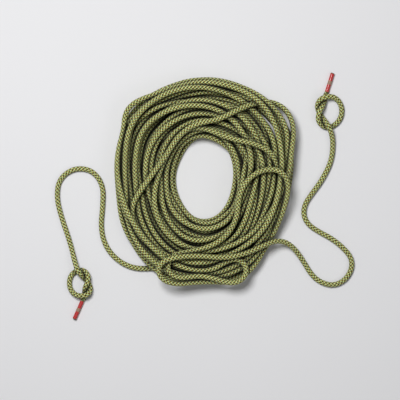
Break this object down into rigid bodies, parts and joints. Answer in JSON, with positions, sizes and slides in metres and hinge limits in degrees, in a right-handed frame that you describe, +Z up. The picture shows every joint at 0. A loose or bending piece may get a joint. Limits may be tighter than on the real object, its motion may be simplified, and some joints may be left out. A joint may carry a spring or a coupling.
{
  "type": "dynamic climbing rope",
  "caption": "Long olive kernmantle rope laid in a loose oval coil, with a knotted tail and a red end sleeve on each side.",
  "frame": {"origin": "on the ground, under the middle of all that lies on it: the coil, both tails and both knots", "axes": "+Z up from the ground; +X from the left tail to the right tail; +Y along the oval coil, towards the right tail's sleeve"},
  "size_m": [0.5508, 0.4548, 0.06],
  "materials": {
    "braided_sheath": "braided nylon, olive with pale and dark flecks",
    "core_nylon": "undyed twisted nylon",
    "marker_tape": "thin film",
    "red_sleeve": "heat-shrunk",
    "pale_label": "blank printed band",
    "fused_nylon": "melted"
  },
  "bodies": {
    "root": {"coil": "braided_sheath", "left_tail": "braided_sheath", "left_end_sheath": "braided_sheath", "left_core_strands": "core_nylon", "left_marker_tape": "marker_tape", "left_end_sleeve": "red_sleeve", "left_sleeve_label": "pale_label", "left_fused_tip": "fused_nylon", "right_tail": "braided_sheath", "right_end_sheath": "braided_sheath", "right_core_strands": "core_nylon", "right_marker_tape": "marker_tape", "right_end_sleeve": "red_sleeve", "right_sleeve_label": "pale_label", "right_fused_tip": "fused_nylon"}
  },
  "joints": []
}
